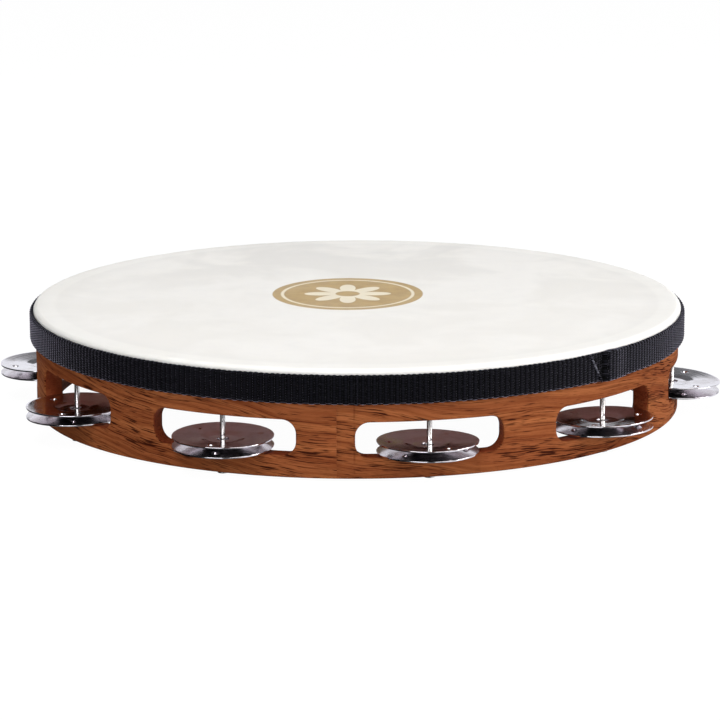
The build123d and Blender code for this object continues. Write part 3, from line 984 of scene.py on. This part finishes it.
def make_jingles(number, disc_material):
    """Both discs of a pair, back to back: the lower one's hollow side is down, the upper one's up."""
    angle, reach = PLACES[number - 1]
    place = number - 1
    shift = Matrix.Translation
    height = SLOT_BOTTOM + SLOT_RISE[place] + PAIR_FLOOR_GAP[place]
    pair = Matrix.Rotation(math.radians(angle), 4, "Z") @ shift((0, -reach * MM, 0))
    pair = pair @ shift((PAIR_ALONG[place] * MM, -PAIR_OUTWARD[place] * MM, height * MM))
    pair = pair @ Matrix.Rotation(math.radians(PAIR_LEAN[place]), 4, "X")
    lower = pair @ Matrix.Rotation(math.radians(LOWER_ROLL[place]), 4, "Y")
    lower = lower @ shift((0, 0, DISC_HEIGHT * MM)) @ Matrix.Rotation(math.pi, 4, "X")
    lower = lower @ Matrix.Rotation(math.radians(LOWER_TURN[place]), 4, "Z")
    upper = pair @ Matrix.Rotation(math.radians(UPPER_ROLL[place]), 4, "Y")
    upper = upper @ shift((0, 0, (DISC_HEIGHT + PAIR_CUP_GAP) * MM))
    upper = upper @ Matrix.Rotation(math.radians(UPPER_TURN[place]), 4, "Z")
    for side, where, seed in (("lower", lower, LOWER_SEED), ("upper", upper, UPPER_SEED)):
        name, body, node = f"disc_{side}_{number}", f"{side}_disc_{number}", f"jingle_{side}_{number}"
        make_disc(name, body, node, disc_material, where, seed + number)


# ---------------------------------------------------------------- the object

wood = wood_finish()
skin = skin_finish()
webbing = webbing_finish()
nickel = disc_finish()
steel = pin_finish()

make_shell(wood)
make_skin(skin)
make_band(webbing)
make_band_end(webbing)
for number in JINGLES:
    make_pin(number, steel)
    make_jingles(number, nickel)


# ---------------------------------------------------------------- floor, light and camera


def floor_piece(name, height, material):
    """A large square, part of the stage."""
    mesh = bpy.data.meshes.new(name)
    sides = [(-1, -1), (1, -1), (1, 1), (-1, 1)]
    corners = [(x * FLOOR_HALF, y * FLOOR_HALF, height) for x, y in sides]
    mesh.from_pydata(corners, [], [(0, 1, 2, 3)])
    mesh.materials.append(material)
    made = bpy.data.objects.new(name, mesh)
    bpy.context.scene.collection.objects.link(made)
    return made


def floor_finish(name, colour, glow):
    """A matt floor that may give off an even white glow."""
    f = Finish(name)
    f.set(Base_Color=(*colour, 1.0), Roughness=0.9, Specular_IOR_Level=0.0)
    f.set(Emission_Color=(1.0, 1.0, 1.0, 1.0), Emission_Strength=glow)
    return f.material


# The camera sees a table with an even white glow. Light bounces off the pale ground just under it.
table = floor_piece("table", TABLE_LEVEL, floor_finish("white_table", (0.05, 0.05, 0.05), 0.975))
table.visible_diffuse = False
table.visible_glossy = False
table.visible_transmission = False
table.visible_shadow = False

ground = floor_piece("ground", GROUND_LEVEL, floor_finish("pale_ground", (0.8, 0.8, 0.79), 0.0))
ground.visible_camera = False
ground.visible_glossy = False


def soft_light(name, place, size, power, colour=(1.0, 1.0, 1.0)):
    """A rectangular lamp that faces the object's middle."""
    lamp = bpy.data.lights.new(name, "AREA")
    lamp.shape = "RECTANGLE"
    lamp.size, lamp.size_y = size
    lamp.energy = power
    lamp.color = colour
    made = bpy.data.objects.new(name, lamp)
    made.location = place
    away = Vector(place) - Vector(OBJECT_MIDDLE)
    made.rotation_mode = "QUATERNION"
    made.rotation_quaternion = away.to_track_quat("Z", "Y")
    bpy.context.scene.collection.objects.link(made)


soft_light("overhead", (0.0, -0.1, 1.3), (1.5, 1.0), 13.6)
soft_light("front_top", (-0.25, -0.95, 1.05), (0.4, 0.4), 6.0)
soft_light("left_front", (-0.45, -1.35, 0.45), (0.9, 0.6), 6.2, (0.94, 0.97, 1.0))
soft_light("right_front", (0.8, -1.2, 0.4), (1.0, 0.5), 4.0)
soft_light("right_side", (1.45, -0.2, 0.5), (0.9, 0.7), 15.0)


def studio_world():
    """A bright sweep behind and to the right, dim in front and at the left, under a dark ceiling."""
    world = bpy.data.worlds.new("studio")
    world.use_nodes = True
    tree = world.node_tree
    background = tree.nodes["Background"]
    direction = tree.nodes.new("ShaderNodeTexCoord")
    parts = tree.nodes.new("ShaderNodeSeparateXYZ")
    tree.links.new(direction.outputs["Generated"], parts.inputs[0])

    def ramp(value, low, high, out_low, out_high):
        node = tree.nodes.new("ShaderNodeMapRange")
        node.interpolation_type = "SMOOTHSTEP"
        tree.links.new(value, node.inputs["Value"])
        bounds = (("From Min", low), ("From Max", high), ("To Min", out_low), ("To Max", out_high))
        for socket, bound in bounds:
            node.inputs[socket].default_value = bound
        return node.outputs[0]

    lean = tree.nodes.new("ShaderNodeMath")
    lean.operation = "MULTIPLY_ADD"
    tree.links.new(parts.outputs[0], lean.inputs[0])
    lean.inputs[1].default_value = SWEEP_LEAN
    tree.links.new(parts.outputs[1], lean.inputs[2])
    sweep = ramp(lean.outputs[0], -0.3, 0.55, ROOM_FRONT, ROOM_BACK)
    ceiling = ramp(parts.outputs[2], 0.275, 0.325, 1.0, CEILING_SHARE)
    left = ramp(parts.outputs[0], -0.8, -0.2, LEFT_SHARE, 1.0)
    strength = sweep
    for share in (ceiling, left):
        product = tree.nodes.new("ShaderNodeMath")
        product.operation = "MULTIPLY"
        tree.links.new(strength, product.inputs[0])
        tree.links.new(share, product.inputs[1])
        strength = product.outputs[0]
    tree.links.new(strength, background.inputs["Strength"])
    background.inputs["Color"].default_value = (0.93, 0.95, 1.0, 1.0)
    bpy.context.scene.world = world


studio_world()
bpy.context.scene.view_settings.view_transform = "Standard"


def make_camera():
    """The camera stands in front of and above the skin's middle, and looks a little below it."""
    aim = Vector((0.0, 0.0, SKIN_TOP * MM))
    ahead = CAMERA_DISTANCE * math.cos(CAMERA_ELEVATION)
    above = CAMERA_DISTANCE * math.sin(CAMERA_ELEVATION)
    back = Vector((0.0, -ahead, above))
    forward = -back.normalized()
    right = forward.cross(Vector((0, 0, 1))).normalized()
    up = right.cross(forward)
    look = (forward + right * AIM_RIGHT + up * AIM_UP).normalized()
    right = look.cross(Vector((0, 0, 1))).normalized()
    up = right.cross(look)
    rolled_right = right * math.cos(CAMERA_ROLL) + up * math.sin(CAMERA_ROLL)
    rolled_up = up * math.cos(CAMERA_ROLL) - right * math.sin(CAMERA_ROLL)
    data = bpy.data.cameras.new("camera")
    data.sensor_width = SENSOR_WIDTH
    data.lens = LENS
    data.clip_start, data.clip_end = 0.05, 60.0
    made = bpy.data.objects.new("camera", data)
    turn = Matrix((rolled_right, rolled_up, -look)).transposed()
    made.matrix_world = Matrix.Translation(aim + back) @ turn.to_4x4()
    bpy.context.scene.collection.objects.link(made)
    bpy.context.scene.camera = made


make_camera()
